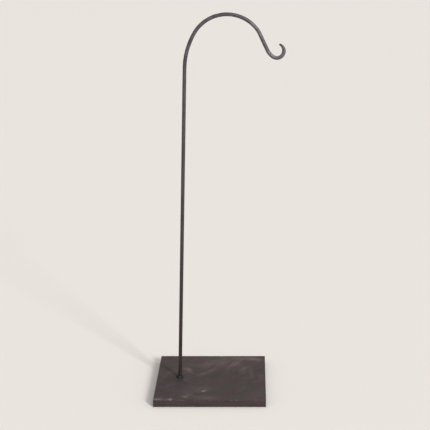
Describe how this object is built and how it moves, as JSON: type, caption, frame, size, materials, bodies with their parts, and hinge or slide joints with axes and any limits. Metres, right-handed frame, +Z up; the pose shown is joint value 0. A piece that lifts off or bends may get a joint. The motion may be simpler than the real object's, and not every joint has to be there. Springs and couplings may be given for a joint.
{
  "type": "hook stand",
  "caption": "Free-standing floor stand: a round forged bar with a wide crook and a small upturned end hook, welded upright off-centre on a heavy square steel plate, to hang a lantern or plant.",
  "frame": {"origin": "on the floor, under the middle of the square plate; the plate's underside is 1 mm above it, on four felt pads", "axes": "+Z up, +X from the upright towards the hook, +Y to the plate's far side; the bar's centreline lies in the plane y = 0"},
  "size_m": [0.3495, 0.3, 1.0221],
  "materials": {
    "plate_steel": "blackened hot-rolled steel, waxed to a low sheen, mottled and scuffed",
    "bar_steel": "forge-blackened round bar, satin",
    "weld_steel": "blackened weld, uneven",
    "pad_felt": "pressed wool felt, matte"
  },
  "bodies": {
    "root": {"base_plate": "plate_steel", "crook_bar": "bar_steel", "weld_bead": "weld_steel", "felt_pad_front_left": "pad_felt", "felt_pad_front_right": "pad_felt", "felt_pad_back_left": "pad_felt", "felt_pad_back_right": "pad_felt"}
  },
  "joints": []
}
